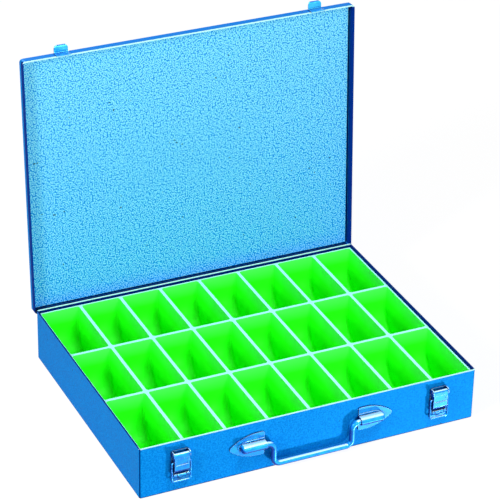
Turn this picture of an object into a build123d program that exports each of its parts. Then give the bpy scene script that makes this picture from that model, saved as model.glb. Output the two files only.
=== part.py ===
from build123d import *
import os
from math import cos, radians, sin, tan

os.makedirs("parts", exist_ok=True)

# Case body: folded sheet steel, open at the top
base_width = 436.0
base_depth = 333.0
base_height = 69.0
sheet = 0.8
base_corner = 2.5
floor_bend = 2.0
base_hem = 6.0
rim_round = 0.7

# Lid: shallow pan that drops over the case body
lid_side_clearance = 0.4
lid_rear_clearance = 1.6
lid_top_clearance = 0.3
lid_skirt = 12.0
lid_hem = 5.0
lid_bend = 1.6
lid_opening = 93.3

# Hinge behind the rear wall
hinge_offset = 3.95
hinge_drop = 8.55
rod_radius = 1.5
rod_head_radius = 2.0
rod_head = 0.8
curl_play = 0.05
curl_end_gap = 4.0
strap_count = 4
strap_from_end = 68.0
strap_width = 14.0
strap_sheet = 1.0
strap_leaf = 24.0
strap_notch_gap = 0.4
strap_notch_rise = 3.2
strap_rivet_spacing = 7.2
strap_rivet_drop = 16.0

# Lid stops beside the hinge
stop_from_end = 10.5
stop_width = 9.0
stop_reach = 10.0
stop_leaf = 14.0
stop_rivet_drop = 9.0
stop_play = 0.02
stop_notch_margin = 0.5
stop_notch_rise = 2.6

# Compartment tray: one thin moulding with three rows of eight pockets
tray_gap = 0.5
tray_drop = 4.6
tray_wall = 1.2
tray_rim = 2.2
tray_foot = 3.0
tray_foot_radius = 4.0
rib_width = 4.0
tray_columns = 8
back_row = 106.4
front_row = 113.4
pocket_draft = 2.0
pocket_corner = 3.0
pocket_scoop = 32.0

# Draw latches on the front wall; u is out from the wall, v is up from the rim
latch_from_end = 50.0
latch_plate_width = 21.0
latch_plate_sheet = 1.0
latch_plate_top = -12.5
latch_plate_bottom = -53.5
latch_plate_corner = 2.0
ear_reach = 8.5
ear_bottom = -20.0
ear_round = 2.5
lever_pivot_u = 5.5
lever_pivot_v = -16.0
latch_pin_radius = 1.25
pin_head_radius = 1.9
pin_head = 0.5
lever_play = 0.07
lever_sheet = 1.0
lever_width = 18.4
lever_panel_foot = -36.0
lever_neck_v = -41.5
lever_roll_u = 5.0
lever_roll_v = -44.0
lever_roll_radius = 1.3
lever_slot = 1.0
lever_middle_roll = 11.0
flange_seat_gap = 0.3
panel_recess_width = 14.0
panel_recess_height = 8.0
panel_recess_v = -24.5
panel_recess_depth = 0.35
panel_lip_width = 15.0
panel_lip_height = 1.4
panel_lip_v = -29.6
panel_lip_rise = 0.6
bail_pivot_u = 4.5
bail_pivot_v = -27.0
bail_radius = 1.0
bail_play = 0.05
bail_leg_x = 11.8
bail_leg = 26.0
bail_foot_bend = 3.0
bail_eye_bend = 1.5
bail_eye_end = 7.6

# Catches on the front skirt of the lid
catch_width = 18.0
catch_sheet = 1.0
catch_foot_z = 56.0
catch_tab_top = -2.3
catch_tab_reach = 9.5
catch_tip_rise = 2.6
catch_bend = 1.5
catch_tab_corner = 4.0

# Carrying handle: bent rod swinging in two pressed plates
handle_rod_radius = 3.4
handle_play = 0.06
handle_pivot_u = 6.4
handle_pivot_v = -30.7
handle_leg_x = 51.0
handle_end_x = 88.0
handle_drop = 30.0
handle_top_bend = 9.0
handle_foot_bend = 8.0
plate_sheet = 1.2
plate_inner_x = 61.3
plate_tip_x = 105.4
plate_height = 31.0
plate_shoulder_x = 72.0
plate_cheek_shift = 3.0
plate_cheek_share = 0.68
plate_point_share = 0.09
plate_flat_corner = 2.0
plate_field_rise = 0.9
plate_field_height = 15.0
plate_field_shoulder = 6.0
plate_field_end_x = 96.0
sleeve_end_round = 3.0
bore_end_gap = 1.0
sleeve_radius = 5.0
sleeve_end_x = 92.5

# Round-head rivets
rivet_shank = 1.3
rivet_head_radius = 2.4
rivet_head = 1.2
rivet_tail_radius = 1.9
rivet_tail = 0.7
latch_rivet_heights = (-28.0, -49.5)

# Derived places
wall_front = -base_depth / 2
wall_rear = base_depth / 2
hinge_y = wall_rear + hinge_offset
hinge_z = base_height - hinge_drop
latch_centre = base_width / 2 - latch_from_end
stop_centre = base_width / 2 - stop_from_end
curl_half_length = stop_centre - stop_width / 2 - curl_end_gap
strap_reach = base_width / 2 - strap_from_end
strap_spacing = 2 * strap_reach / (strap_count - 1)
strap_centres = [i * strap_spacing - strap_reach for i in range(strap_count)]
lid_width = base_width + 2 * (lid_side_clearance + 2 * sheet)
lid_front = wall_front - lid_side_clearance - 2 * sheet
lid_rear = wall_rear + lid_rear_clearance + sheet
lid_depth = lid_rear - lid_front
lid_centre_y = (lid_rear + lid_front) / 2
lid_top = base_height + lid_top_clearance + sheet
lid_lip = lid_top - lid_skirt
lid_corner = base_corner + lid_side_clearance + 2 * sheet
stop_notch_end = lid_width / 2 - lid_corner - stop_notch_margin
tray_width = base_width - 4 * sheet - 2 * tray_gap
tray_depth = base_depth - 4 * sheet - 2 * tray_gap
tray_corner = base_corner - 2 * sheet - tray_gap
tray_top = base_height - tray_drop
back_rib_y = tray_depth / 2 - back_row
front_rib_y = -tray_depth / 2 + front_row
pocket_floor = sheet + tray_foot + tray_wall
pocket_width = (tray_width - 2 * tray_rim - (tray_columns - 1) * rib_width) / tray_columns
pocket_pitch = pocket_width + rib_width


def save(part, node):
    """Write one node to its own STEP file."""
    part.label = node
    export_step(part, f"parts/{node}.step")


def front_plane(x=0.0):
    """Plane seen from the side: local x is u (out of the front wall), local y is v (up from the rim)."""
    return Plane(origin=(x, wall_front, base_height), x_dir=(0, -1, 0), z_dir=(-1, 0, 0))


def front_point(x, u, v):
    """Point given out from the front wall and up from the rim."""
    return Vector(x, wall_front - u, base_height + v)


def rounded_block(width, depth, corner, low, high, centre_y=0.0):
    """Upright block with rounded corners between two heights."""
    outline = Plane.XY.offset(low) * Pos(0, centre_y) * RectangleRounded(width, depth, corner)
    return extrude(outline, amount=high - low)


def box_between(x_low, x_high, y_low, y_high, z_low, z_high):
    """Block given by its two opposite corners."""
    size = (x_high - x_low, y_high - y_low, z_high - z_low)
    middle = ((x_high + x_low) / 2, (y_high + y_low) / 2, (z_high + z_low) / 2)
    return Pos(*middle) * Box(*size)


def bent_strip(plane, path, thickness, width):
    """Strip of sheet whose edge view follows a path, centred across its width."""
    profile = plane * trace(path, line_width=thickness)
    return extrude(profile, amount=width / 2, both=True)


def bent_path(points, radius):
    """Straight runs joined by one bend radius."""
    return FilletPolyline(*points, radius=radius)


def rod_along(path, radius):
    """Round rod swept along a path of straight runs and bends."""
    start = Plane(origin=path @ 0, z_dir=path % 0)
    return sweep(start * Circle(radius), path=path)


def rivet(grip):
    """Rivet along Z: rounded head above zero, shank through the grip, upset tail below."""
    foot = (Align.CENTER, Align.CENTER, Align.MIN)
    head = Cylinder(rivet_head_radius, rivet_head, align=foot)
    head = fillet(head.edges().sort_by(Axis.Z)[-1], rivet_head * 0.8)
    shank = Pos(0, 0, -grip) * Cylinder(rivet_shank, grip, align=foot)
    tail = Pos(0, 0, -grip - rivet_tail) * Cylinder(rivet_tail_radius, rivet_tail, align=foot)
    return head + shank + tail


def front_rivet_place(x, v, thickness):
    """Place on a plate fixed to the front wall, facing out."""
    return Location(front_point(x, thickness, v)) * Rot(90, 0, 0)


def rear_rivet_place(x, z, thickness):
    """Place on a strap fixed to the rear wall, facing out."""
    return Pos(x, wall_rear + thickness, z) * Rot(-90, 0, 0)


def rivet_hole(place, depth=10.0):
    """Clear hole for a rivet shank at a place."""
    return place * Cylinder(rivet_shank, depth)


# Rivet places
latch_grip = latch_plate_sheet + sheet
strap_grip = strap_sheet + sheet
strap_rivet_z = hinge_z - strap_rivet_drop
stop_rivet_z = hinge_z - stop_rivet_drop
latch_rivet_places = [
    front_rivet_place(side * latch_centre, v, latch_plate_sheet)
    for side in (-1, 1)
    for v in latch_rivet_heights
]
strap_rivet_places = [
    rear_rivet_place(x + side * strap_rivet_spacing / 2, strap_rivet_z, strap_sheet)
    for x in strap_centres
    for side in (-1, 1)
]
stop_rivet_places = [
    rear_rivet_place(side * stop_centre, stop_rivet_z, strap_sheet)
    for side in (-1, 1)
]


def make_base_shell():
    """Body pan with a flat floor, rounded folds and a closed hem turned in round the rim."""
    outer = rounded_block(base_width, base_depth, base_corner, 0, base_height)
    outer = fillet(outer.faces().sort_by(Axis.Z)[0].edges(), floor_bend)
    inner = rounded_block(
        base_width - 2 * sheet, base_depth - 2 * sheet, base_corner - sheet, sheet, base_height + 1
    )
    inner = fillet(inner.faces().sort_by(Axis.Z)[0].edges(), floor_bend - sheet)
    hem_low = base_height - base_hem
    hem = rounded_block(
        base_width - sheet, base_depth - sheet, base_corner - sheet / 2, hem_low, base_height
    )
    mouth = rounded_block(
        base_width - 4 * sheet,
        base_depth - 4 * sheet,
        base_corner - 2 * sheet,
        hem_low - 1,
        base_height + 1,
    )
    shell = outer - inner + (hem - mouth)
    rim_edges = shell.edges().filter_by_position(Axis.Z, base_height - 0.01, base_height + 0.01)
    shell = fillet(rim_edges, rim_round)
    for place in latch_rivet_places + strap_rivet_places + stop_rivet_places:
        shell -= rivet_hole(place)
    return shell


def make_pocket(width, front_y, back_y, grow):
    """Tapered pocket, scooped at the back and rounded in its corners; grow makes its outside."""
    top = tray_top if grow else tray_top + rib_width
    floor = pocket_floor - grow
    slope = tan(radians(pocket_draft))
    middle = (front_y + back_y) / 2
    depth = back_y - front_y

    def outline(height):
        inset = (tray_top - height) * slope - grow
        rectangle = Rectangle(width - 2 * inset, depth - 2 * inset)
        return Plane.XY.offset(height) * Pos(0, middle) * rectangle

    pocket = loft([outline(floor), outline(top)], ruled=True)
    heel = pocket.edges().filter_by(Axis.X).group_by(Axis.Z)[0].sort_by(Axis.Y)[-1]
    pocket = fillet(heel, pocket_scoop + grow)
    closed = [edge for edge in pocket.edges() if edge.center().Z < top - rim_round]
    return fillet(closed, pocket_corner + grow)


def make_tray():
    """One moulding: a deck, pockets hanging from it and a short foot under each pocket."""
    half_rib = rib_width / 2
    tray_front = -tray_depth / 2 + tray_rim
    tray_back = tray_depth / 2 - tray_rim
    rows = (
        (tray_front, front_rib_y - half_rib),
        (front_rib_y + half_rib, back_rib_y - half_rib),
        (back_rib_y + half_rib, tray_back),
    )
    deck = rounded_block(tray_width, tray_depth, tray_corner, tray_top - tray_wall, tray_top)
    columns = [(i - (tray_columns - 1) / 2) * pocket_pitch for i in range(tray_columns)]
    walls = []
    hollows = []
    for front_y, back_y in rows:
        tub = make_pocket(pocket_width, front_y, back_y, tray_wall)
        hollow = make_pocket(pocket_width, front_y, back_y, 0.0)
        foot_y = front_y + pocket_scoop
        foot_low = sheet
        foot = Pos(0, foot_y, foot_low) * Cylinder(
            tray_foot_radius,
            tray_foot + tray_wall / 2,
            align=(Align.CENTER, Align.CENTER, Align.MIN),
        )
        tub = tub + foot
        walls += [Pos(x, 0, 0) * tub for x in columns]
        hollows += [Pos(x, 0, 0) * hollow for x in columns]
    return deck.fuse(*walls).cut(*hollows)


def open_lid(part):
    """Swing a closed-lid part about the hinge to its standing place."""
    pivot = Pos(0, hinge_y, hinge_z)
    return pivot * Rot(-lid_opening, 0, 0) * pivot.inverse() * part


def make_lid_shell():
    """Lid pan, closed: hemmed skirt on three sides, rear skirt curled round the hinge rod."""
    outer = rounded_block(lid_width, lid_depth, lid_corner, lid_lip, lid_top, lid_centre_y)
    outer = fillet(outer.faces().sort_by(Axis.Z)[-1].edges(), lid_bend)
    inner = rounded_block(
        lid_width - 2 * sheet,
        lid_depth - 2 * sheet,
        lid_corner - sheet,
        lid_lip - 1,
        lid_top - sheet,
        lid_centre_y,
    )
    inner = fillet(inner.faces().sort_by(Axis.Z)[-1].edges(), lid_bend - sheet)
    hem = rounded_block(
        lid_width - sheet,
        lid_depth - sheet,
        lid_corner - sheet / 2,
        lid_lip,
        lid_lip + lid_hem,
        lid_centre_y,
    )
    mouth = rounded_block(
        lid_width - 4 * sheet,
        lid_depth - 4 * sheet,
        lid_corner - 2 * sheet,
        lid_lip - 1,
        lid_lip + lid_hem + 1,
        lid_centre_y,
    )
    hem_end = lid_rear - 2 * lid_corner
    hem -= mouth
    hem -= box_between(-lid_width, lid_width, hem_end, lid_rear + 1, lid_lip - 1, lid_top)
    shell = outer - inner + hem

    skirt_inside = lid_rear - 2 * sheet
    behind = hinge_y + rod_radius + 2 * sheet
    curl_room = box_between(
        -curl_half_length, curl_half_length, skirt_inside, behind, lid_lip - 1, hinge_z
    )
    shell -= curl_room
    curl_middle = rod_radius + curl_play + sheet / 2
    curl_path = CenterArc((hinge_y, hinge_z), curl_middle, 180, 290)
    shell += bent_strip(Plane.YZ, curl_path, sheet, 2 * curl_half_length)
    for x in strap_centres:
        half = strap_width / 2 + strap_notch_gap
        top = hinge_z + strap_notch_rise
        shell -= box_between(x - half, x + half, skirt_inside, behind, lid_lip - 1, top)
    for side in (-1, 1):
        near = min(side * curl_half_length, side * stop_notch_end)
        far = max(side * curl_half_length, side * stop_notch_end)
        top = hinge_z + stop_notch_rise
        shell -= box_between(near, far, skirt_inside, behind, lid_lip - 1, top)
    return shell


def make_hinge_strap(x):
    """Strap riveted to the rear wall, stepped out and wrapped round the rod."""
    leaf_y = wall_rear + strap_sheet / 2
    ring = rod_radius + strap_sheet / 2
    front_of_ring = hinge_y - ring
    step_low = hinge_z - 2 * strap_sheet - hinge_offset
    step_high = hinge_z - ring - strap_sheet / 2
    leaf = bent_path(
        (
            (leaf_y, hinge_z - strap_leaf),
            (leaf_y, step_low),
            (front_of_ring, step_high),
            (front_of_ring, hinge_z),
        ),
        rod_radius,
    )
    wrap = CenterArc((hinge_y, hinge_z), ring, 180, -290)
    strap = bent_strip(Plane.YZ, leaf, strap_sheet, strap_width)
    strap += bent_strip(Plane.YZ, wrap, strap_sheet, strap_width)
    strap = Pos(x, 0, 0) * strap
    for place in strap_rivet_places:
        strap -= rivet_hole(place)
    return strap


def make_hinge_rod():
    """Plain rod through curl and straps with a peened head at each end."""
    reach = curl_half_length + rod_head / 2
    rod = Pos(0, hinge_y, hinge_z) * Rot(0, 90, 0) * Cylinder(rod_radius, 2 * reach)
    for side in (-1, 1):
        place = Pos(side * (reach + rod_head / 2), hinge_y, hinge_z) * Rot(0, 90, 0)
        rod += place * Cylinder(rod_head_radius, rod_head)
    return rod


def make_lid_stop(x):
    """Bracket on the rear wall whose shelf the standing lid's rear skirt comes down on."""
    arm = lid_top - lid_bend - hinge_z
    skirt_face = hinge_y - lid_rear
    rest_height = skirt_face * sin(radians(lid_opening)) + arm * cos(radians(lid_opening))
    shelf_z = hinge_z + rest_height - stop_play - strap_sheet / 2
    leaf_y = wall_rear + strap_sheet / 2
    path = bent_path(
        (
            (leaf_y, hinge_z - stop_leaf),
            (leaf_y, shelf_z),
            (hinge_y + stop_reach, shelf_z),
        ),
        rod_radius,
    )
    stop = Pos(x, 0, 0) * bent_strip(Plane.YZ, path, strap_sheet, stop_width)
    for place in stop_rivet_places:
        stop -= rivet_hole(place)
    return stop


def make_latch_plate(x):
    """Back plate of a latch with two ears that carry the lever pin."""
    height = latch_plate_top - latch_plate_bottom
    middle = (latch_plate_top + latch_plate_bottom) / 2
    face_plane = Plane(origin=front_point(x, 0, middle), x_dir=(1, 0, 0), z_dir=(0, -1, 0))
    outline = RectangleRounded(latch_plate_width, height, latch_plate_corner)
    plate = extrude(face_plane * outline, amount=latch_plate_sheet)
    ear_outline = FilletPolyline(
        (0, latch_plate_top - latch_plate_corner),
        (ear_reach / 4, latch_plate_top),
        (ear_reach, latch_plate_top),
        (ear_reach, ear_bottom + ear_round / 2),
        (ear_reach - ear_round, ear_bottom),
        (0, ear_bottom),
        radius=(0, 0, ear_round, 1, 1, 0),
        close=True,
    )
    ear_centre = (latch_plate_width - latch_plate_sheet) / 2
    for side in (-1, 1):
        ear_plane = front_plane(x + side * ear_centre)
        ear = extrude(
            ear_plane * make_face(ear_outline.edges()), amount=latch_plate_sheet / 2, both=True
        )
        plate += ear
    pin_place = Location(front_point(x, lever_pivot_u, lever_pivot_v)) * Rot(0, 90, 0)
    plate -= pin_place * Cylinder(latch_pin_radius, 2 * latch_plate_width)
    for place in latch_rivet_places:
        plate -= rivet_hole(place)
    return plate


def make_latch_pin(x):
    """Lever pin, upset at both ends outside the ears."""
    place = Location(front_point(x, lever_pivot_u, lever_pivot_v)) * Rot(0, 90, 0)
    pin = place * Cylinder(latch_pin_radius, latch_plate_width)
    for side in (-1, 1):
        end = Pos(side * (latch_plate_width + pin_head) / 2, 0, 0)
        pin += end * place * Cylinder(pin_head_radius, pin_head)
    return pin


def make_lever(x):
    """Pressed lever: curl round the pin, flanged panel, rolled and slotted free end."""
    plane = front_plane(x)
    curl_middle = latch_pin_radius + lever_play + lever_sheet / 2
    panel_u = lever_pivot_u + curl_middle
    neck_u = lever_roll_u - lever_roll_radius
    curl = CenterArc((lever_pivot_u, lever_pivot_v), curl_middle, 0, 290)
    panel = bent_path(
        (
            (panel_u, lever_pivot_v),
            (panel_u, lever_panel_foot),
            (neck_u, lever_neck_v),
            (neck_u, lever_roll_v),
        ),
        lever_roll_radius,
    )
    roll = CenterArc((lever_roll_u, lever_roll_v), lever_roll_radius, 180, 285)
    lever = bent_strip(plane, curl, lever_sheet, lever_width)
    lever += bent_strip(plane, panel, lever_sheet, lever_width)
    lever += bent_strip(plane, roll, lever_sheet, lever_width)

    flange_back = latch_plate_sheet + flange_seat_gap
    flange_outline = FilletPolyline(
        (panel_u, lever_pivot_v - 2 * lever_sheet),
        (panel_u, lever_panel_foot),
        (neck_u + lever_sheet / 2, lever_neck_v + lever_sheet / 2),
        (flange_back, lever_panel_foot - lever_sheet),
        (flange_back, bail_pivot_v + bail_leg / 8),
        (lever_pivot_u - lever_sheet, lever_pivot_v - 3 * lever_sheet),
        radius=(0, 0, 0, 1.5, 2, 0),
        close=True,
    )
    flange_centre = (lever_width - lever_sheet) / 2
    for side in (-1, 1):
        flange_plane = front_plane(x + side * flange_centre)
        lever += extrude(
            flange_plane * make_face(flange_outline.edges()), amount=lever_sheet / 2, both=True
        )

    face_u = panel_u + lever_sheet / 2
    recess = Location(front_point(x, face_u, panel_recess_v)) * Box(
        panel_recess_width, 2 * panel_recess_depth, panel_recess_height
    )
    lip = Location(front_point(x, face_u, panel_lip_v)) * Box(
        panel_lip_width, 2 * panel_lip_rise, panel_lip_height
    )
    lip = fillet(lip.edges().filter_by(Axis.X), panel_lip_rise * 0.8)
    lever = lever - recess + lip
    slot_low = lever_roll_v - 2 * lever_roll_radius
    for side in (-1, 1):
        slot_x = x + side * (lever_middle_roll + lever_slot) / 2
        lever -= box_between(
            slot_x - lever_slot / 2,
            slot_x + lever_slot / 2,
            wall_front - 2 * ear_reach,
            wall_front - lever_sheet,
            base_height + slot_low,
            base_height + lever_neck_v,
        )
    pivot = Location(front_point(x, bail_pivot_u, bail_pivot_v)) * Rot(0, 90, 0)
    lever -= pivot * Cylinder(bail_radius + bail_play, 2 * lever_width)
    return lever


def make_bail(x):
    """Wire loop hung in the lever flanges by its turned-in ends."""
    low = bail_pivot_v - bail_leg
    corners = (
        front_point(x - bail_eye_end, bail_pivot_u, bail_pivot_v),
        front_point(x - bail_leg_x, bail_pivot_u, bail_pivot_v),
        front_point(x - bail_leg_x, bail_pivot_u, low),
        front_point(x + bail_leg_x, bail_pivot_u, low),
        front_point(x + bail_leg_x, bail_pivot_u, bail_pivot_v),
        front_point(x + bail_eye_end, bail_pivot_u, bail_pivot_v),
    )
    bends = (bail_eye_bend, bail_foot_bend, bail_foot_bend, bail_eye_bend)
    path = FilletPolyline(*corners, radius=bends)
    return rod_along(path, bail_radius)


def make_catch(x):
    """Catch on the lid skirt, closed: flat foot, round-cornered tab standing out, tip turned up."""
    foot_y = lid_front - catch_sheet / 2
    tab_z = base_height + catch_tab_top - catch_sheet / 2
    tip_y = lid_front - catch_tab_reach
    path = bent_path(
        (
            (foot_y, catch_foot_z),
            (foot_y, tab_z),
            (tip_y, tab_z),
            (tip_y, tab_z + catch_tip_rise),
        ),
        catch_bend,
    )
    strip = bent_strip(Plane.YZ, path, catch_sheet, catch_width)
    blank_depth = 4 * catch_tab_reach
    blank_front = tip_y - catch_sheet / 2
    blank = rounded_block(
        catch_width,
        blank_depth,
        catch_tab_corner,
        catch_foot_z - catch_sheet,
        base_height + catch_tip_rise + catch_sheet,
        blank_front + blank_depth / 2,
    )
    return Pos(x, 0, 0) * (strip & blank)


def make_handle_plate(side):
    """Leaf-shaped plate with a raised field and a blind sleeve that holds the handle end."""
    base_plane = Plane(
        origin=front_point(0, 0, handle_pivot_v), x_dir=(1, 0, 0), z_dir=(0, -1, 0)
    )

    def leaf(height, shoulder, tip, depth):
        half = height / 2
        blunt = half * plate_point_share
        cheek = ((shoulder + tip) / 2 + plate_cheek_shift, half * plate_cheek_share)
        neck = (tip - blunt, 2 * blunt)
        edges = [
            Line((plate_inner_x, -half), (plate_inner_x, half)),
            Line((plate_inner_x, half), (shoulder, half)),
            ThreePointArc((shoulder, half), cheek, neck),
            ThreePointArc(neck, (tip, 0), (neck[0], -neck[1])),
            ThreePointArc((neck[0], -neck[1]), (cheek[0], -cheek[1]), (shoulder, -half)),
            Line((shoulder, -half), (plate_inner_x, -half)),
        ]
        return extrude(base_plane * make_face(edges), amount=depth)

    plate = leaf(plate_height, plate_shoulder_x, plate_tip_x, plate_sheet)
    flat_corners = plate.edges().filter_by(Axis.Y).sort_by(Axis.X)[:2]
    plate = fillet(flat_corners, plate_flat_corner)
    field = leaf(
        plate_field_height,
        plate_shoulder_x + plate_field_shoulder,
        plate_field_end_x,
        plate_sheet + plate_field_rise,
    )
    field = fillet(field.faces().sort_by(Axis.Y)[0].edges(), plate_field_rise * 0.7)
    plate += field

    length = sleeve_end_x - plate_inner_x
    middle_x = (sleeve_end_x + plate_inner_x) / 2
    barrel_place = Location(front_point(middle_x, handle_pivot_u, handle_pivot_v)) * Rot(0, 90, 0)
    barrel = barrel_place * Cylinder(sleeve_radius, length)
    barrel += box_between(
        plate_inner_x,
        sleeve_end_x,
        wall_front - handle_pivot_u,
        wall_front - plate_sheet / 2,
        base_height + handle_pivot_v - sleeve_radius,
        base_height + handle_pivot_v + sleeve_radius,
    )
    end_edges = barrel.faces().sort_by(Axis.X)[-1].edges()
    outer_end = [edge for edge in end_edges if edge.center().Y < wall_front - plate_sheet]
    barrel = fillet(outer_end, sleeve_end_round)
    plate += barrel
    bore_end = handle_end_x + bore_end_gap
    bore_length = bore_end - plate_inner_x + sleeve_radius
    bore_middle = front_point(bore_end - bore_length / 2, handle_pivot_u, handle_pivot_v)
    bore = Cylinder(handle_rod_radius + handle_play, bore_length)
    plate -= Location(bore_middle) * Rot(0, 90, 0) * bore
    return plate if side > 0 else mirror(plate, about=Plane.YZ)


def make_handle():
    """Rod handle hanging down, its ends turned out into the two sleeves."""
    low = handle_pivot_v - handle_drop
    corners = (
        front_point(-handle_end_x, handle_pivot_u, handle_pivot_v),
        front_point(-handle_leg_x, handle_pivot_u, handle_pivot_v),
        front_point(-handle_leg_x, handle_pivot_u, low),
        front_point(handle_leg_x, handle_pivot_u, low),
        front_point(handle_leg_x, handle_pivot_u, handle_pivot_v),
        front_point(handle_end_x, handle_pivot_u, handle_pivot_v),
    )
    bends = (handle_top_bend, handle_foot_bend, handle_foot_bend, handle_top_bend)
    path = FilletPolyline(*corners, radius=bends)
    return rod_along(path, handle_rod_radius)


save(make_base_shell(), "base_shell")
save(make_tray(), "compartment_tray")
save(open_lid(make_lid_shell()), "lid_shell")
save(make_hinge_rod(), "hinge_rod")
for number, strap_x in enumerate(strap_centres, start=1):
    save(make_hinge_strap(strap_x), f"hinge_strap_{number}")
save(Compound([place * rivet(strap_grip) for place in strap_rivet_places]), "hinge_rivets")
save(Compound([place * rivet(strap_grip) for place in stop_rivet_places]), "lid_stop_rivets")
save(Compound([place * rivet(latch_grip) for place in latch_rivet_places]), "latch_rivets")
for word, sign in (("left", -1), ("right", 1)):
    save(make_lid_stop(sign * stop_centre), f"lid_stop_{word}")
    save(make_latch_plate(sign * latch_centre), f"latch_plate_{word}")
    save(make_latch_pin(sign * latch_centre), f"latch_pin_{word}")
    save(make_lever(sign * latch_centre), f"lever_{word}")
    save(make_bail(sign * latch_centre), f"bail_{word}")
    save(open_lid(make_catch(sign * latch_centre)), f"catch_{word}")
    save(make_handle_plate(sign), f"handle_plate_{word}")
save(make_handle(), "carry_handle")
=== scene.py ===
"""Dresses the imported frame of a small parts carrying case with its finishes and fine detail."""

import logging
import math
from dataclasses import dataclass
from enum import Enum
from typing import Optional, Sequence, Union

import bpy
from mathutils import Matrix, Vector


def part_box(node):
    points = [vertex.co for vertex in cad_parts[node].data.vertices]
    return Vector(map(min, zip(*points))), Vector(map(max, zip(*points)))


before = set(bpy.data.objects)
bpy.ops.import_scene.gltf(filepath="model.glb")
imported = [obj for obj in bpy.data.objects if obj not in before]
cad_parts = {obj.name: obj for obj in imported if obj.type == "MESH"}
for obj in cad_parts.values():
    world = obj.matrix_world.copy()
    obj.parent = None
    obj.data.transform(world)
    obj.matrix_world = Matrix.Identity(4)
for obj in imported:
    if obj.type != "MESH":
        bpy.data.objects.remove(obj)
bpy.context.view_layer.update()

LOG = logging.getLogger("carrying_case")
MM = 0.001

Socket = bpy.types.NodeSocket
Colour = tuple[float, float, float]
Vector3 = tuple[float, float, float]
Feed = Union[float, Sequence[float], Socket]

WIDE: Vector3 = (1.0, 0.0, 0.0)
DEEP: Vector3 = (0.0, 1.0, 0.0)
UP: Vector3 = (0.0, 0.0, 1.0)
LEFTWARD: Vector3 = (-1.0, 0.0, 0.0)
SHARP_FADE = 0.3 * MM


def from_screen(red: int, green: int, blue: int) -> Colour:
    """Turn a screen colour of 0 to 255 into a linear one.

    Args:
        red: Red of the screen colour.
        green: Green of the screen colour.
        blue: Blue of the screen colour.

    Returns:
        The same colour as linear light.
    """

    def linear(value: int) -> float:
        """Return one channel as linear light."""
        share = value / 255
        return share / 12.92 if share <= 0.04045 else ((share + 0.055) / 1.055) ** 2.4

    return (linear(red), linear(green), linear(blue))


class Side(Enum):
    """The two ends of the front wall, as seen by someone who faces it."""

    LEFT = -1
    RIGHT = 1

    @property
    def word(self) -> str:
        """Return the word that the frame's nodes end with."""
        return self.name.lower()


class Effect(Enum):
    """Names of the shader node groups that materials share."""

    HAMMERTONE = "hammertone_grain"
    EDGE_WEAR = "edge_wear"
    DUST = "settled_dust"
    FINE_GRAIN = "fine_grain"
    CREVICE = "crevice_shade"


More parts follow.
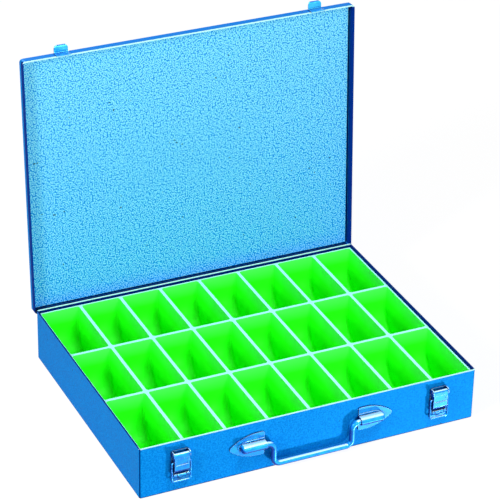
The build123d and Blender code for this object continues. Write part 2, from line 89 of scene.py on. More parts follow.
class NodeNet:
    """Adds and joins shader nodes in one node tree."""

    def __init__(self, tree: bpy.types.NodeTree) -> None:
        """Keep the tree that the nodes go into.

        Args:
            tree: Node tree of a material, a world or a group.
        """
        self.tree = tree

    def add(self, kind: str, **settings: object) -> bpy.types.Node:
        """Add one node.

        Args:
            kind: Blender's name of the node type.
            settings: Properties set on the new node.

        Returns:
            The new node.
        """
        node = self.tree.nodes.new(kind)
        for name, value in settings.items():
            setattr(node, name, value)
        return node

    def feed(self, target: Socket, value: Feed) -> None:
        """Join a socket to an input, or set the input to a constant.

        Args:
            target: Input socket.
            value: Output socket, number or vector.
        """
        if isinstance(value, bpy.types.NodeSocket):
            self.tree.links.new(value, target)
        else:
            target.default_value = value

    def math(self, operation: str, first: Feed, second: Feed = 0.0, clamp: bool = False) -> Socket:
        """Add a Math node.

        Args:
            operation: Name of the operation.
            first: First value.
            second: Second value.
            clamp: Whether the result is held between 0 and 1.

        Returns:
            The result's socket.
        """
        node = self.add("ShaderNodeMath", operation=operation, use_clamp=clamp)
        self.feed(node.inputs[0], first)
        self.feed(node.inputs[1], second)
        return node.outputs[0]

    def dot(self, first: Feed, second: Feed) -> Socket:
        """Add a dot product.

        Args:
            first: First vector.
            second: Second vector.

        Returns:
            The product's socket.
        """
        node = self.add("ShaderNodeVectorMath", operation="DOT_PRODUCT")
        self.feed(node.inputs[0], first)
        self.feed(node.inputs[1], second)
        return node.outputs["Value"]

    def split(self, vector: Feed) -> dict[str, Socket]:
        """Split a vector.

        Args:
            vector: Vector to split.

        Returns:
            The sockets of its X, Y and Z.
        """
        node = self.add("ShaderNodeSeparateXYZ")
        self.feed(node.inputs[0], vector)
        return {axis: node.outputs[axis] for axis in "XYZ"}

    def remap(
        self, value: Feed, low: float, high: float, to_low: float = 0.0, to_high: float = 1.0
    ) -> Socket:
        """Carry a value from one range to another, held at its ends.

        Args:
            value: Value to carry over.
            low: Low end of the value's range.
            high: High end of the value's range.
            to_low: Result at the low end.
            to_high: Result at the high end.

        Returns:
            The result's socket.
        """
        node = self.add("ShaderNodeMapRange", clamp=True)
        self.feed(node.inputs["Value"], value)
        ends = {"From Min": low, "From Max": high, "To Min": to_low, "To Max": to_high}
        for name, end in ends.items():
            node.inputs[name].default_value = end
        return node.outputs["Result"]

    def mix(self, share: Feed, first: Feed, second: Feed) -> Socket:
        """Mix two colours.

        Args:
            share: Share of the second colour.
            first: First colour, linear.
            second: Second colour, linear.

        Returns:
            The mixed colour's socket.
        """
        node = self.add("ShaderNodeMix", data_type="RGBA")
        self.feed(node.inputs["Factor"], share)
        for name, value in (("A", first), ("B", second)):
            target = next(s for s in node.inputs if s.name == name and s.type == "RGBA")
            if not isinstance(value, bpy.types.NodeSocket):
                value = (*value, 1.0)
            self.feed(target, value)
        return next(s for s in node.outputs if s.type == "RGBA")

    def noise(self, place: Feed, scale: Feed, detail: float = 2.0, rough: float = 0.5) -> Socket:
        """Add a noise texture.

        Args:
            place: Texture coordinate.
            scale: Waves per metre.
            detail: Number of finer layers.
            rough: Strength of the finer layers.

        Returns:
            The noise value's socket, 0 to 1.
        """
        node = self.add("ShaderNodeTexNoise")
        self.feed(node.inputs["Vector"], place)
        self.feed(node.inputs["Scale"], scale)
        node.inputs["Detail"].default_value = detail
        node.inputs["Roughness"].default_value = rough
        return node.outputs[0]

    def seen_by(self, *rays: str) -> Socket:
        """Build the mask of some kinds of ray.

        Args:
            rays: Names of the kinds, as the Light Path node has them.

        Returns:
            The mask's socket, 0 or 1.
        """
        path = self.add("ShaderNodeLightPath")
        mask, *others = [path.outputs[f"Is {kind} Ray"] for kind in rays]
        for other in others:
            mask = self.math("MAXIMUM", mask, other)
        return mask

    def pick(self, share: Feed, first: Socket, second: Socket) -> Socket:
        """Mix two shaders.

        Args:
            share: Share of the second shader.
            first: First shader.
            second: Second shader.

        Returns:
            The mixed shader's socket.
        """
        node = self.add("ShaderNodeMixShader")
        for target, value in zip(node.inputs, (share, first, second)):
            self.feed(target, value)
        return node.outputs[0]

    def effect(self, effect: Effect, **values: Feed) -> bpy.types.Node:
        """Place a shared effect group with its own values.

        Args:
            effect: Which group.
            values: Inputs of the group by name, with spaces as underscores.

        Returns:
            The group node.
        """
        node = self.add("ShaderNodeGroup")
        node.node_tree = effect_group(effect)
        for name, value in values.items():
            self.feed(node.inputs[name.replace("_", " ")], value)
        return node

    def coat(self, colour: Socket, coat: Colour, effect: Effect, **values: Feed) -> Socket:
        """Lay a coat of colour where an effect's mask says.

        Args:
            colour: Colour under the coat.
            coat: Colour of the coat, linear.
            effect: Effect with a mask.
            values: Inputs of the effect's group by name.

        Returns:
            The colour with the coat.
        """
        return self.mix(self.effect(effect, **values).outputs["Mask"], colour, coat)


@dataclass(frozen=True)
class Turned:
    """Mask of faces that look towards a direction.

    The mask starts where the face's normal reaches start along the direction, and has its
    full share where it reaches full.
    """

    towards: Vector3
    start: float = 0.8
    full: float = 0.9
    share: float = 1.0

    def mask(self, net: NodeNet, normal: Socket, both_ways: bool = False) -> Socket:
        """Build the mask of such faces.

        Args:
            net: Net of the material or group.
            normal: Normal of the surface in the object's own axes.
            both_ways: Whether faces that look the opposite way count too.

        Returns:
            The mask's socket, 0 to the share.
        """
        along = net.dot(normal, self.towards)
        if both_ways:
            along = net.math("ABSOLUTE", along)
        return net.remap(along, self.start, self.full, 0.0, self.share)


def new_group(effect: Effect, inputs: dict[str, float], outputs: Sequence[str]) -> NodeNet:
    """Start a shader group with number sockets.

    Args:
        effect: Effect that the group makes.
        inputs: Input names with their defaults.
        outputs: Output names.

    Returns:
        A net on the group's tree, with its input and output nodes added.
    """
    tree = bpy.data.node_groups.new(effect.value, "ShaderNodeTree")
    for name, value in inputs.items():
        socket = tree.interface.new_socket(name=name, in_out="INPUT", socket_type="NodeSocketFloat")
        socket.default_value = value
    for name in outputs:
        tree.interface.new_socket(name=name, in_out="OUTPUT", socket_type="NodeSocketFloat")
    return NodeNet(tree)


def build_hammertone() -> None:
    """Build the pebbled, mottled skin of hammertone enamel."""
    net = new_group(
        Effect.HAMMERTONE, {"Scale": 500.0, "Spread": 0.5}, ("Height", "Mottle", "Chip")
    )
    warp_reach, smoothing = 2 * MM, 0.6
    cell_middle, cell_edge = 0.05, 0.75
    fine_to_cells, broad_scale = 1.1, 9.0
    fine_low, fine_high, broad_low, broad_high = 0.34, 0.66, 0.3, 0.7
    chip_scale, chip_from, chip_full = 260.0, 0.865, 0.875
    source = net.add("NodeGroupInput")
    target = net.add("NodeGroupOutput")
    place = net.add("ShaderNodeTexCoord").outputs["Object"]
    warp = net.add("ShaderNodeTexNoise")
    net.feed(warp.inputs["Vector"], place)
    net.feed(warp.inputs["Scale"], source.outputs["Scale"])
    shift = net.add("ShaderNodeVectorMath", operation="SCALE")
    net.feed(shift.inputs[0], warp.outputs["Color"])
    net.feed(shift.inputs["Scale"], warp_reach)
    bent = net.add("ShaderNodeVectorMath", operation="ADD")
    net.feed(bent.inputs[0], place)
    net.feed(bent.inputs[1], shift.outputs[0])
    cells = net.add("ShaderNodeTexVoronoi", feature="SMOOTH_F1")
    net.feed(cells.inputs["Vector"], bent.outputs[0])
    net.feed(cells.inputs["Scale"], source.outputs["Scale"])
    cells.inputs["Smoothness"].default_value = smoothing
    height = net.remap(cells.outputs["Distance"], cell_middle, cell_edge, 1.0, 0.0)
    net.feed(target.inputs["Height"], height)
    fine_scale = net.math("MULTIPLY", source.outputs["Scale"], fine_to_cells)
    fine = net.noise(place, fine_scale, detail=1.0, rough=0.6)
    broad = net.noise(place, broad_scale)
    fine_part = net.remap(fine, fine_low, fine_high)
    broad_part = net.remap(broad, broad_low, broad_high)
    spread = source.outputs["Spread"]
    rest = net.math("SUBTRACT", 1.0, spread)
    mottle = net.math(
        "ADD", net.math("MULTIPLY", fine_part, spread), net.math("MULTIPLY", broad_part, rest)
    )
    net.feed(target.inputs["Mottle"], mottle)
    chip = net.noise(place, chip_scale, detail=0.0)
    net.feed(target.inputs["Chip"], net.remap(chip, chip_from, chip_full))


def build_edge_wear() -> None:
    """Build the mask of worn and rounded edges."""
    net = new_group(
        Effect.EDGE_WEAR, {"Width": 0.8 * MM, "Amount": 0.5, "Break Up": 60.0}, ("Mask",)
    )
    bend_from, bend_full = 0.06, 0.26
    rub_low, rub_high, least_rub = 0.35, 0.6, 0.25
    source = net.add("NodeGroupInput")
    target = net.add("NodeGroupOutput")
    bevel = net.add("ShaderNodeBevel", samples=4)
    net.feed(bevel.inputs["Radius"], source.outputs["Width"])
    facing = net.add("ShaderNodeNewGeometry")
    bend = net.math("SUBTRACT", 1.0, net.dot(bevel.outputs[0], facing.outputs["True Normal"]))
    edge = net.remap(bend, bend_from, bend_full)
    place = net.add("ShaderNodeTexCoord").outputs["Object"]
    patches = net.noise(place, source.outputs["Break Up"], detail=3.0, rough=0.6)
    rub = net.remap(patches, rub_low, rub_high, least_rub, 1.0)
    worn = net.math("MULTIPLY", net.math("MULTIPLY", edge, rub), source.outputs["Amount"])
    net.feed(target.inputs["Mask"], worn)


def build_dust() -> None:
    """Build the mask of dust lying on faces that look up."""
    net = new_group(Effect.DUST, {"Amount": 0.2, "Scale": 40.0}, ("Mask",))
    patch_low, patch_high, least_dust = 0.4, 0.7, 0.2
    source = net.add("NodeGroupInput")
    target = net.add("NodeGroupOutput")
    place = net.add("ShaderNodeTexCoord")
    up = Turned(UP, start=0.5, full=1.0).mask(net, place.outputs["Normal"])
    cloud = net.noise(place.outputs["Object"], source.outputs["Scale"], detail=4.0, rough=0.6)
    patch = net.remap(cloud, patch_low, patch_high, least_dust, 1.0)
    net.feed(
        target.inputs["Mask"],
        net.math("MULTIPLY", net.math("MULTIPLY", up, patch), source.outputs["Amount"]),
    )


def build_fine_grain() -> None:
    """Build the fine waviness that every painted or moulded surface has."""
    net = new_group(Effect.FINE_GRAIN, {"Scale": 900.0, "Wave": 60.0}, ("Height", "Value"))
    wave_share, wave_low, wave_high = 0.65, 0.3, 0.7
    source = net.add("NodeGroupInput")
    target = net.add("NodeGroupOutput")
    place = net.add("ShaderNodeTexCoord").outputs["Object"]
    fine = net.noise(place, source.outputs["Scale"])
    wave = net.noise(place, source.outputs["Wave"], detail=1.0)
    fine_part = net.math("MULTIPLY", fine, 1.0 - wave_share)
    height = net.math("ADD", fine_part, net.math("MULTIPLY", wave, wave_share))
    net.feed(target.inputs["Height"], height)
    net.feed(target.inputs["Value"], net.remap(wave, wave_low, wave_high))


def build_crevice() -> None:
    """Build the mask of corners, seams and gaps, where painted shade darkens the colour."""
    net = new_group(Effect.CREVICE, {"Reach": 3 * MM, "Open": 0.9, "Shut": 0.5}, ("Mask",))
    source = net.add("NodeGroupInput")
    target = net.add("NodeGroupOutput")
    shut_in = net.add("ShaderNodeAmbientOcclusion", samples=8)
    net.feed(shut_in.inputs["Distance"], source.outputs["Reach"])
    span = net.math("SUBTRACT", source.outputs["Open"], source.outputs["Shut"])
    short = net.math("SUBTRACT", source.outputs["Open"], shut_in.outputs["AO"])
    net.feed(target.inputs["Mask"], net.math("DIVIDE", short, span, clamp=True))


def effect_group(effect: Effect) -> bpy.types.NodeTree:
    """Return an effect's node group, building it on first use.

    Args:
        effect: Which effect.

    Returns:
        The shared node tree.
    """
    builders = {
        Effect.HAMMERTONE: build_hammertone,
        Effect.EDGE_WEAR: build_edge_wear,
        Effect.DUST: build_dust,
        Effect.FINE_GRAIN: build_fine_grain,
        Effect.CREVICE: build_crevice,
    }
    if effect.value not in bpy.data.node_groups:
        builders[effect]()
    return bpy.data.node_groups[effect.value]


@dataclass(frozen=True)
class Shine:
    """How a finish shines: roughness, other shader inputs and the depth of its bump."""

    smooth: float
    rough: float
    bump_depth: float
    bump_strength: float
    settings: tuple[tuple[str, float], ...] = ()

    def apply(self, net: NodeNet, shader: bpy.types.Node, spread: Socket, height: Socket) -> None:
        """Set a shader's shine and bump.

        Args:
            net: Net of the material.
            shader: Shader to set.
            spread: Value, 0 to 1, that runs from smooth to rough over the surface.
            height: Height of the surface, 0 to 1.
        """
        net.feed(shader.inputs["Roughness"], net.remap(spread, 0.0, 1.0, self.smooth, self.rough))
        for name, value in self.settings:
            shader.inputs[name].default_value = value
        bump = net.add("ShaderNodeBump")
        bump.inputs["Strength"].default_value = self.bump_strength
        bump.inputs["Distance"].default_value = self.bump_depth
        net.feed(bump.inputs["Height"], height)
        net.feed(shader.inputs["Normal"], bump.outputs[0])


def start_material(name: str) -> tuple[bpy.types.Material, NodeNet, bpy.types.Node]:
    """Start a material with an empty tree and one Principled shader.

    Args:
        name: Name of the material.

    Returns:
        The material, a net on its tree and its shader node.
    """
    material = bpy.data.materials.new(name)
    material.use_nodes = True
    material.node_tree.nodes.clear()
    net = NodeNet(material.node_tree)
    shader = net.add("ShaderNodeBsdfPrincipled")
    output = net.add("ShaderNodeOutputMaterial")
    net.feed(output.inputs["Surface"], shader.outputs[0])
    return material, net, shader


@dataclass(frozen=True)
class EdgeBand:
    """A strip of another colour, far along one axis and far along a second one."""

    colour: Colour
    first_axis: Vector3
    first_from: float
    second_axis: Vector3
    second_from: float
    both_ways: bool = False
    fade: float = SHARP_FADE

    def mask(self, net: NodeNet, place: Socket) -> Socket:
        """Build the mask of the strip.

        Args:
            net: Net of the material.
            place: Object coordinate.

        Returns:
            The mask's socket, 0 to 1.
        """
        first = net.dot(place, self.first_axis)
        second = net.dot(place, self.second_axis)
        if self.both_ways:
            second = net.math("ABSOLUTE", second)
        rim = net.remap(first, self.first_from - self.fade, self.first_from)
        side = net.remap(second, self.second_from - self.fade, self.second_from)
        return net.math("MULTIPLY", rim, side)


@dataclass(frozen=True)
class PaleInside:
    """Painted light on the lid's inner faces that look along one axis: a paler copy of the enamel,
    brighter towards the top, with painted shade along the seam, the lip and the skirts' inner faces.
    """

    axis: Vector3
    bottom: float
    top: float
    lip_from: float
    side: float
    crease: float
    # Painted light: low and high are a paler copy of the enamel, lighter towards the top.
    low: Colour = from_screen(28, 176, 255)
    high: Colour = from_screen(96, 206, 248)
    spark: Colour = from_screen(186, 255, 255)
    pit: Colour = from_screen(6, 130, 226)
    lip: Colour = from_screen(2, 60, 156)
    low_lip: Colour = from_screen(0, 12, 44)
    skirt: Colour = from_screen(10, 142, 252)
    skirt_inside: Colour = from_screen(4, 58, 150)
    seam: Colour = from_screen(0, 14, 60)
    seam_width: float = 2.4 * MM
    seam_fade: float = 0.8 * MM
    skirt_rise: float = 10 * MM
    skirt_edge: float = 0.4 * MM
    middling: float = 0.42
    spark_at: float = 0.12
    spark_share: float = 0.7
    pit_at: float = 0.74
    pit_share: float = 0.9


@dataclass(frozen=True)
class HammertoneEnamel:
    """Blue hammertone enamel baked onto the folded sheet of the case and lid."""

    name: str = "blue_hammertone_enamel"
    deep: Colour = from_screen(0, 126, 222)
    light: Colour = from_screen(16, 160, 248)
    edge: Colour = from_screen(130, 222, 255)
    pooled: Colour = from_screen(0, 34, 112)
    chip: Colour = from_screen(20, 50, 80)
    dust: Colour = from_screen(190, 205, 215)
    inside: Optional[PaleInside] = None
    bands: tuple[EdgeBand, ...] = ()
    lining: Colour = from_screen(0, 40, 128)
    walls: Optional[tuple[float, float]] = None
    cell_scale: float = 520.0
    cell_spread: float = 0.85
    inside_scale: float = 540.0
    shine: Shine = Shine(
        smooth=0.3,
        rough=0.46,
        bump_depth=0.1 * MM,
        bump_strength=0.5,
        settings=(("Metallic", 0.06), ("IOR", 1.035)),
    )

    def pebbles(self, net: NodeNet, across: Socket, height: Socket) -> Socket:
        """Build the even, fine pebbling of the lid's inner faces.

        Args:
            net: Net of the material.
            across: Place along the width.
            height: Place along the height.

        Returns:
            The pebbles' socket: low in their middles, high between them.
        """
        flat = net.add("ShaderNodeCombineXYZ")
        net.feed(flat.inputs["X"], across)
        net.feed(flat.inputs["Y"], height)
        cells = net.add("ShaderNodeTexVoronoi", voronoi_dimensions="2D")
        net.feed(cells.inputs["Vector"], flat.outputs[0])
        cells.inputs["Scale"].default_value = self.inside_scale
        cells.inputs["Randomness"].default_value = 1.0
        return cells.outputs["Distance"]

    def line_inside(self, net: NodeNet, place: bpy.types.Node, colour: Socket) -> Socket:
        """Paint the paler, lit look and the painted shade onto the lid's inner faces.

        Args:
            net: Net of the material.
            place: Texture coordinate node.
            colour: Colour of the enamel.

        Returns:
            The colour with the painted light and shade.
        """
        inner, normal = self.inside, place.outputs["Normal"]
        spot = net.split(place.outputs["Object"])
        across, height = net.math("ABSOLUTE", spot["X"]), spot["Z"]
        beside = net.math("SUBTRACT", inner.side, across)
        below = net.math("SUBTRACT", inner.top, height)
        above = net.math("SUBTRACT", height, inner.crease)
        # Rises from the crease to a skirt's rise above it, fading the painted shade out.
        up_high = net.remap(height, inner.crease, inner.crease + inner.skirt_rise)

        # Painted light: a paler copy of the enamel, lighter towards the top.
        pale = net.mix(net.remap(height, inner.bottom, inner.top), inner.low, inner.high)
        speck = self.pebbles(net, spot["X"], height)
        spark = net.remap(speck, inner.middling, inner.spark_at, 0.0, inner.spark_share)
        pit = net.remap(speck, inner.middling, inner.pit_at, 0.0, inner.pit_share)
        pale = net.mix(pit, net.mix(spark, pale, inner.spark), inner.pit)
        # Painted shade: a dark seam along the panel's sides, top and crease.
        near = net.math("MINIMUM", net.math("MINIMUM", beside, below), above)
        seam = net.remap(near, inner.seam_width + inner.seam_fade, inner.seam_width)
        pale = net.mix(seam, pale, inner.seam)
        colour = net.mix(Turned(inner.axis).mask(net, normal), colour, pale)

        # Faces that look up: painted shade at the crease, fading into the skirt colour higher up.
        skirt = net.mix(up_high, inner.seam, inner.skirt)
        colour = net.mix(Turned(UP).mask(net, normal), colour, skirt)
        # Painted shade on the inner faces of the side skirts.
        sideways = Turned(WIDE).mask(net, normal, both_ways=True)
        within = net.remap(beside, -inner.skirt_edge, SHARP_FADE - inner.skirt_edge)
        sideways = net.math("MULTIPLY", sideways, within)
        colour = net.mix(sideways, colour, inner.skirt_inside)
        # Painted shade on the lip: near black at the crease, navy higher up.
        lip = net.dot(place.outputs["Object"], inner.axis)
        on_lip = net.remap(lip, inner.lip_from - SHARP_FADE, inner.lip_from)
        return net.mix(on_lip, colour, net.mix(up_high, inner.low_lip, inner.lip))

    def within(self, net: NodeNet, place: bpy.types.Node) -> Socket:
        """Build the mask of all that lies inside the four walls.

        Args:
            net: Net of the material.
            place: Texture coordinate node.

        Returns:
            The mask's socket, 0 to 1.
        """
        spot = net.split(place.outputs["Object"])
        shares = []
        for axis, limit in zip("XY", self.walls):
            beside = net.math("SUBTRACT", limit, net.math("ABSOLUTE", spot[axis]))
            shares.append(net.remap(beside, 0.0, SHARP_FADE))
        return net.math("MULTIPLY", *shares)

    def build(self) -> bpy.types.Material:
        """Build the material.

        Returns:
            The finished material.
        """
        material, net, shader = start_material(self.name)
        place = net.add("ShaderNodeTexCoord")
        skin = net.effect(Effect.HAMMERTONE, Scale=self.cell_scale, Spread=self.cell_spread)
        colour = net.mix(skin.outputs["Mottle"], self.deep, self.light)
        if self.inside:
            colour = self.line_inside(net, place, colour)
        # Painted shade: faces inside the four walls are darkened to navy.
        if self.walls:
            colour = net.mix(self.within(net, place), colour, self.lining)
        # Painted shade: corners, seams and gaps are darkened to navy.
        colour = net.coat(colour, self.pooled, Effect.CREVICE, Reach=4 * MM, Open=0.86, Shut=0.5)
        colour = net.coat(
            colour, self.edge, Effect.EDGE_WEAR, Width=0.6 * MM, Amount=0.22, Break_Up=45.0
        )
        # The bands paint highlight and shade along rims, lips and corners.
        for band in self.bands:
            colour = net.mix(band.mask(net, place.outputs["Object"]), colour, band.colour)
        colour = net.mix(skin.outputs["Chip"], colour, self.chip)
        colour = net.coat(colour, self.dust, Effect.DUST, Amount=0.04, Scale=30.0)
        net.feed(shader.inputs["Base Color"], colour)
        self.shine.apply(net, shader, skin.outputs["Mottle"], skin.outputs["Height"])
        return material


@dataclass(frozen=True)
class LacqueredSteel:
    """Glossy blue lacquer over pressed steel, with a painted highlight on faces that look up and
    painted shade on faces that look down.
    """

    name: str = "glossy_blue_lacquer"
    body: Colour = from_screen(20, 168, 246)
    shade: Colour = from_screen(0, 126, 224)
    worn: Colour = from_screen(214, 254, 255)
    crown: Colour = from_screen(214, 254, 255)
    thick: Colour = from_screen(0, 48, 150)
    pooled: Colour = from_screen(0, 14, 64)
    dust: Colour = from_screen(190, 205, 215)
    on_top: Turned = Turned((0.1, -0.3, 0.95), start=0.86, full=0.98, share=0.85)
    underneath: Turned = Turned((-0.5, 0.0, -0.87), start=-0.1, full=0.4, share=0.95)
    shine: Shine = Shine(
        smooth=0.2,
        rough=0.3,
        bump_depth=0.12 * MM,
        bump_strength=0.3,
        settings=(
            ("Metallic", 0.3),
            ("IOR", 1.2),
            ("Coat Weight", 0.25),
            ("Coat Roughness", 0.15),
        ),
    )

    def build(self) -> bpy.types.Material:
        """Build the material.

        Returns:
            The finished material.
        """
        material, net, shader = start_material(self.name)
        grain = net.effect(Effect.FINE_GRAIN, Scale=1400.0, Wave=120.0)
        colour = net.mix(grain.outputs["Value"], self.body, self.shade)
        normal = net.add("ShaderNodeTexCoord").outputs["Normal"]
        # Painted light on faces that look up: a highlight by default, shade on the catches.
        colour = net.mix(self.on_top.mask(net, normal), colour, self.crown)
        # Painted shade on faces that look down.
        colour = net.mix(self.underneath.mask(net, normal), colour, self.thick)
        # Painted shade: gaps and corners of the hardware are darkened to navy.
        colour = net.coat(colour, self.pooled, Effect.CREVICE, Reach=4.5 * MM, Open=0.84, Shut=0.5)
        # Edge wear, made bright and strong enough to serve partly as painted highlight.
        colour = net.coat(
            colour, self.worn, Effect.EDGE_WEAR, Width=0.5 * MM, Amount=0.8, Break_Up=160.0
        )
        colour = net.coat(colour, self.dust, Effect.DUST, Amount=0.03, Scale=60.0)
        net.feed(shader.inputs["Base Color"], colour)
        self.shine.apply(net, shader, grain.outputs["Value"], grain.outputs["Height"])
        return material


@dataclass(frozen=True)
class BareSteel:
    """Drawn steel of the hinge rod, dulled and lightly oiled."""

    name: str = "drawn_steel"
    body: Colour = from_screen(168, 172, 176)
    stain: Colour = from_screen(112, 110, 106)
    shine: Shine = Shine(
        smooth=0.28,
        rough=0.5,
        bump_depth=0.05 * MM,
        bump_strength=0.3,
        settings=(("Metallic", 1.0),),
    )

    def build(self) -> bpy.types.Material:
        """Build the material.

        Returns:
            The finished material.
        """
        material, net, shader = start_material(self.name)
        grain = net.effect(Effect.FINE_GRAIN, Scale=2200.0, Wave=90.0)
        net.feed(shader.inputs["Base Color"], net.mix(grain.outputs["Value"], self.body, self.stain))
        self.shine.apply(net, shader, grain.outputs["Value"], grain.outputs["Height"])
        return material


@dataclass(frozen=True)
class MouldedPlastic:
    """Bright green moulded plastic of the tray, with painted light towards the rim, a painted
    highlight on the rib tops and painted shade deep down and in the corners.
    """

    name: str = "green_moulded_plastic"
    body: Colour = from_screen(40, 255, 18)
    # deep serves both as painted shade towards the floor and as random cloudiness.
    deep: Colour = from_screen(14, 190, 26)
    thin: Colour = from_screen(96, 255, 120)
    rib_top: Colour = from_screen(168, 254, 238)
    corner: Colour = from_screen(6, 84, 26)
    floor_z: float = 6 * MM
    rim_z: float = 62.4 * MM
    thin_band: float = 20 * MM
    crown_band: float = 1.5 * MM
    crown_fade: float = 0.5 * MM
    deep_share: float = 0.15
    thin_share: float = 0.55
    grain_share: float = 0.08
    rib_face: Turned = Turned(UP, start=0.6, full=0.8)
    shine: Shine = Shine(
        smooth=0.42,
        rough=0.55,
        bump_depth=0.25 * MM,
        bump_strength=0.3,
        settings=(("Specular IOR Level", 0.18),),
    )

    def build(self) -> bpy.types.Material:
        """Build the material.

        Returns:
            The finished material.
        """
        material, net, shader = start_material(self.name)
        place = net.add("ShaderNodeTexCoord")
        height = net.split(place.outputs["Object"])["Z"]
        # Painted shade: darker towards the floor of the pockets.
        depth = net.remap(height, self.floor_z, self.rim_z, self.deep_share, 0.0)
        colour = net.mix(depth, self.body, self.deep)
        # Painted light: lighter towards the rim.
        thin = net.remap(height, self.rim_z - self.thin_band, self.rim_z, 0.0, self.thin_share)
        colour = net.mix(thin, colour, self.thin)
        # Painted shade in the pockets' corners and down their walls.
        colour = net.coat(colour, self.corner, Effect.CREVICE, Reach=24 * MM, Open=0.5, Shut=0.2)
        # Painted highlight on the flat rib tops.
        up = self.rib_face.mask(net, place.outputs["Normal"])
        crown_from = self.rim_z - self.crown_band
        near_top = net.remap(height, crown_from, crown_from + self.crown_fade)
        colour = net.mix(net.math("MULTIPLY", up, near_top), colour, self.rib_top)
        grain = net.effect(Effect.FINE_GRAIN, Scale=700.0, Wave=30.0)
        cloudy = net.math("MULTIPLY", grain.outputs["Value"], self.grain_share)
        colour = net.mix(cloudy, colour, self.deep)
        net.feed(shader.inputs["Base Color"], colour)
        self.shine.apply(net, shader, grain.outputs["Value"], grain.outputs["Height"])
        return material


def cad_object(node: str) -> bpy.types.Object:
    """Return the Blender object that holds a node of the frame.

    Args:
        node: Name of the node.

    Returns:
        The node's object.
    """
    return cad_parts[node]


def reach_along(node: str, axis: Vector3) -> float:
    """Return how far a node reaches along an axis at rest.

    Args:
        node: Name of the node.
        axis: Unit vector of the axis.

    Returns:
        The furthest point's distance from the origin, in metres.
    """
    direction = Vector(axis)
    return max(vertex.co.dot(direction) for vertex in cad_object(node).data.vertices)


def dress(node: str, material: bpy.types.Material) -> None:
    """Give a node of the frame its finish.

    Args:
        node: Name of the node.
        material: Finish that the node gets.
    """
    piece = cad_object(node)
    for slot in piece.material_slots:
        slot.material = material
    LOG.info("dressed %s with %s", node, material.name)


@dataclass
class CaseBody:
    """Folded body pan with its rivets and the hinge parts behind it."""

    straps: int = 4
    rubbed_height: float = 0.9 * MM
    rim_width: float = 2.0 * MM
    corner_width: float = 1.2 * MM
    wall: float = 1.2 * MM
    rubbed: Colour = from_screen(196, 252, 255)
    pooled: Colour = from_screen(0, 46, 128)

    def build(self, lacquer: bpy.types.Material) -> None:
        """Dress the body pan and what is fixed to its rear wall.

        Args:
            lacquer: Finish of the straps, stops and rivets.
        """
        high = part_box("base_shell")[1]
        rim_z = high.z - self.rubbed_height
        corner = (high.x - self.corner_width, DEEP, high.y - self.corner_width)
        # Painted highlight on the front and rear rim tops, painted shade on the side rim tops and on
        # the left wall's vertical corners.
        bands = (
            EdgeBand(self.pooled, UP, rim_z, WIDE, high.x - self.rim_width, both_ways=True),
            EdgeBand(self.rubbed, UP, rim_z, DEEP, high.y - self.rim_width, both_ways=True),
            EdgeBand(self.pooled, LEFTWARD, *corner, both_ways=True),
        )
        # The walls bound the painted shade on the inner faces.
        walls = (high.x - self.wall, high.y - self.wall)
        dress("base_shell", HammertoneEnamel(bands=bands, walls=walls).build())
        dress("hinge_rod", BareSteel().build())
        for number in range(1, self.straps + 1):
            dress(f"hinge_strap_{number}", lacquer)
        for node in ("hinge_rivets", "lid_stop_rivets", "lid_stop_left", "lid_stop_right"):
            dress(node, lacquer)


@dataclass
class StandingLid:
    """Lid pan with its two catches."""

    opening: float = math.radians(93.3)
    lip_depth: float = 0.5 * MM
    front_lip: float = 2.2 * MM
    seam_below_rim: float = 7.0 * MM
    hem_band: float = 4.5 * MM
    sheet: float = 0.8 * MM
    hem: Colour = from_screen(2, 50, 142)
    rubbed: Colour = from_screen(196, 252, 255)
    tab: Colour = from_screen(70, 206, 250)
    tab_shade: Colour = from_screen(20, 160, 236)
    foot: Colour = from_screen(0, 66, 200)

    def build(self) -> None:
        """Dress the lid and its catches."""
        # Painted light: the catches get a lighter copy of the lacquer, with painted shade on their
        # faces that look up.
        catch_lacquer = LacqueredSteel(
            name="catch_lacquer", body=self.tab, shade=self.tab_shade, crown=self.foot
        ).build()
        inward = (0.0, -math.sin(self.opening), -math.cos(self.opening))
        low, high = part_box("lid_shell")
        lip_from = reach_along("lid_shell", inward) - self.lip_depth
        top = high.z - self.sheet
        side = high.x - self.sheet
        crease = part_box("base_shell")[1].z - self.seam_below_rim
        inside = PaleInside(inward, low.z, top, lip_from, side, crease)
        # Painted highlight along the lip at the top edge.
        rim = EdgeBand(self.rubbed, inward, lip_from, UP, high.z - self.front_lip)
        # Painted shade on the side skirts near the lip.
        hem_from = lip_from - self.hem_band
        hem = EdgeBand(self.hem, inward, hem_from, WIDE, side - self.sheet, both_ways=True)
        enamel = HammertoneEnamel(name="lid_hammertone_enamel", inside=inside, bands=(hem, rim))
        dress("lid_shell", enamel.build())
        for end in Side:
            dress(f"catch_{end.word}", catch_lacquer)


@dataclass
class PocketTray:
    """Green tray of scooped pockets."""

    floor_rise: float = 5 * MM

    def build(self) -> None:
        """Dress the tray."""
        low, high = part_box("compartment_tray")
        plastic = MouldedPlastic(floor_z=low.z + self.floor_rise, rim_z=high.z)
        dress("compartment_tray", plastic.build())


@dataclass
class DrawLatch:
    """One draw latch: back plate, pin, lever and wire loop."""

    side: Side
    parts: tuple[str, ...] = ("latch_plate", "latch_pin", "lever", "bail")

    def build(self, lacquer: bpy.types.Material) -> None:
        """Dress the latch.

        Args:
            lacquer: Finish of its parts.
        """
        for part in self.parts:
            dress(f"{part}_{self.side.word}", lacquer)


@dataclass
class RodHandle:
    """Rod handle and the two plates that hold it."""

    def build(self, lacquer: bpy.types.Material) -> None:
        """Dress the handle.

        Args:
            lacquer: Finish of its parts.
        """
        dress("carry_handle", lacquer)
        for side in Side:
            dress(f"handle_plate_{side.word}", lacquer)


@dataclass(frozen=True)
class Panel:
    """One square light panel; lights names the nodes that it lights, or none for all."""

    name: str
    place: Vector3
    aim: Vector3
    size: float
    power: float
    lights: tuple[str, ...] = ()


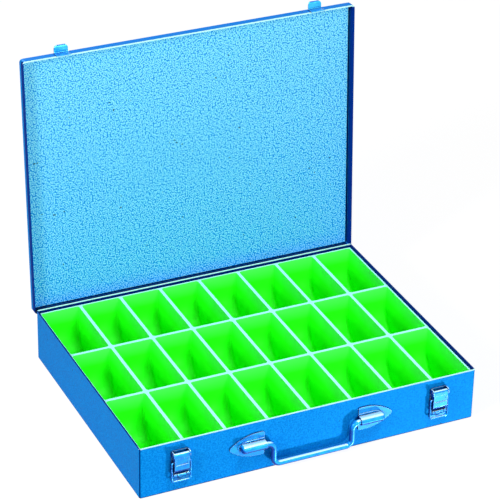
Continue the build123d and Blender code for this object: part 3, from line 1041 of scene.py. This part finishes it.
@dataclass
class Studio:
    """Pale floor, plain soft light and the camera."""

    camera_place: Vector3 = (-1.10476, -2.32187, 1.65612)
    camera_right: Vector3 = (0.90831549, -0.41784871, 0.01911619)
    camera_forward: Vector3 = (0.37186332, 0.78573917, -0.49429913)
    lens: float = 178.30
    sensor: float = 36.0
    nearest: float = 0.05
    furthest: float = 50.0
    floor_half: float = 6.0
    floor_grey: float = 0.85
    shadow_grey: float = 0.26
    floor_glow: float = 0.93
    soft_sky: float = 0.3

    def build_camera(self) -> None:
        """Make the camera and look at the case from the front left."""
        data = bpy.data.cameras.new("view_camera")
        camera = bpy.data.objects.new("view_camera", data)
        bpy.context.scene.collection.objects.link(camera)
        right, forward = Vector(self.camera_right), Vector(self.camera_forward)
        up = right.cross(forward)
        rotation = Matrix((right, up, -forward)).transposed()
        camera.matrix_world = Matrix.Translation(Vector(self.camera_place)) @ rotation.to_4x4()
        data.lens = self.lens
        data.sensor_width = self.sensor
        data.clip_start, data.clip_end = self.nearest, self.furthest
        bpy.context.scene.camera = camera

    def build_floor(self) -> bpy.types.Object:
        """Make the floor, white to the camera except where the case shades it.

        Returns:
            The floor.
        """
        mesh = bpy.data.meshes.new("studio_floor")
        half = self.floor_half
        corners = [(-half, -half, 0), (half, -half, 0), (half, half, 0), (-half, half, 0)]
        mesh.from_pydata(corners, [], [(0, 1, 2, 3)])
        floor = bpy.data.objects.new("studio_floor", mesh)
        bpy.context.scene.collection.objects.link(floor)
        material = bpy.data.materials.new("studio_floor")
        material.use_nodes = True
        material.node_tree.nodes.clear()
        net = NodeNet(material.node_tree)
        plain = net.add("ShaderNodeBsdfDiffuse")
        plain.inputs["Color"].default_value = (*[self.floor_grey] * 3, 1.0)
        shaded = net.add("ShaderNodeBsdfDiffuse")
        shaded.inputs["Color"].default_value = (*[self.shadow_grey] * 3, 1.0)
        glow = net.add("ShaderNodeEmission")
        glow.inputs["Strength"].default_value = self.floor_glow
        white = net.add("ShaderNodeAddShader")
        net.feed(white.inputs[0], shaded.outputs[0])
        net.feed(white.inputs[1], glow.outputs[0])
        choice = net.pick(net.seen_by("Camera", "Glossy"), plain.outputs[0], white.outputs[0])
        output = net.add("ShaderNodeOutputMaterial")
        net.feed(output.inputs["Surface"], choice)
        mesh.materials.append(material)
        return floor

    def build_world(self) -> None:
        """Make the world: soft light everywhere, white where it is seen."""
        world = bpy.data.worlds.new("studio_world")
        bpy.context.scene.world = world
        world.use_nodes = True
        world.node_tree.nodes.clear()
        net = NodeNet(world.node_tree)
        soft = net.add("ShaderNodeBackground")
        soft.inputs["Strength"].default_value = self.soft_sky
        white = net.add("ShaderNodeBackground")
        white.inputs["Color"].default_value = (1.0, 1.0, 1.0, 1.0)
        white.inputs["Strength"].default_value = 1.0
        seen = net.seen_by("Camera", "Glossy", "Transmission")
        output = net.add("ShaderNodeOutputWorld")
        net.feed(output.inputs["Surface"], net.pick(seen, soft.outputs[0], white.outputs[0]))

    def add_panel(self, panel: Panel) -> bpy.types.Object:
        """Add one light panel.

        Args:
            panel: Its name, place, size, power and the nodes that it lights.

        Returns:
            The lamp.
        """
        data = bpy.data.lights.new(panel.name, "AREA")
        data.shape = "SQUARE"
        data.size = panel.size
        data.energy = panel.power
        lamp = bpy.data.objects.new(panel.name, data)
        bpy.context.scene.collection.objects.link(lamp)
        place = Vector(panel.place)
        lamp.location = place
        lamp.rotation_euler = (Vector(panel.aim) - place).to_track_quat("-Z", "Y").to_euler()
        if panel.lights:
            lit = bpy.data.collections.new(f"{panel.name}_lights")
            for node in panel.lights:
                lit.objects.link(cad_object(node))
            lamp.light_linking.receiver_collection = lit
        return lamp

    def let_through(self, floor: bpy.types.Object, lamp: bpy.types.Object) -> None:
        """Keep the floor from blocking a lamp that stands lower than it.

        Args:
            floor: The floor.
            lamp: The lamp.
        """
        clear = bpy.data.collections.new(f"{lamp.name}_passes")
        clear.objects.link(floor)
        clear.collection_objects[0].light_linking.link_state = "EXCLUDE"
        lamp.light_linking.blocker_collection = clear

    def build_lamps(self, floor: bpy.types.Object) -> None:
        """Make the lamps.

        Args:
            floor: The floor, which the low lamp shines through.
        """
        nodes = tuple(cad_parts)
        inner = ("lid_shell", "catch_left", "catch_right", "compartment_tray")
        outer = tuple(node for node in nodes if node not in inner)
        raised = tuple(node for node in nodes if node != "base_shell")
        level = tuple(node for node in nodes if node != "lid_shell")
        middle, ahead = (0.0, 0.0, 0.1), (0.35, -2.4, 1.2)
        front_wall, lid_back = (0.0, -0.17, 0.04), (0.0, 0.0, 0.15)
        low = Panel("low_panel", (1.45, -1.77, -1.76), front_wall, size=0.2, power=46.0, lights=outer)
        self.let_through(floor, self.add_panel(low))
        for panel in (
            Panel("front_panel", ahead, middle, size=0.35, power=41.0, lights=raised),
            Panel("lid_panel", ahead, middle, size=0.35, power=8.0, lights=("lid_shell",)),
            Panel("top_panel", (0.2, -0.8, 2.0), middle, size=0.5, power=24.0, lights=level),
            Panel("side_panel", (-2.0, -0.8, 1.3), middle, size=0.5, power=27.0),
            Panel("back_panel", (0.0, 2.6, 1.2), lid_back, size=0.5, power=42.0, lights=nodes),
        ):
            self.add_panel(panel)

    def build(self) -> None:
        """Make the camera, floor, world and lamps."""
        self.build_camera()
        floor = self.build_floor()
        self.build_world()
        self.build_lamps(floor)
        bpy.context.scene.view_settings.view_transform = "Standard"


def main() -> None:
    """Build and dress every sub-assembly in order."""
    logging.basicConfig(level=logging.INFO, format="%(message)s")
    Studio().build()
    lacquer = LacqueredSteel().build()
    CaseBody().build(lacquer)
    StandingLid().build()
    PocketTray().build()
    for side in Side:
        DrawLatch(side).build(lacquer)
    dress("latch_rivets", lacquer)
    RodHandle().build(lacquer)


if __name__ == "__main__":
    main()
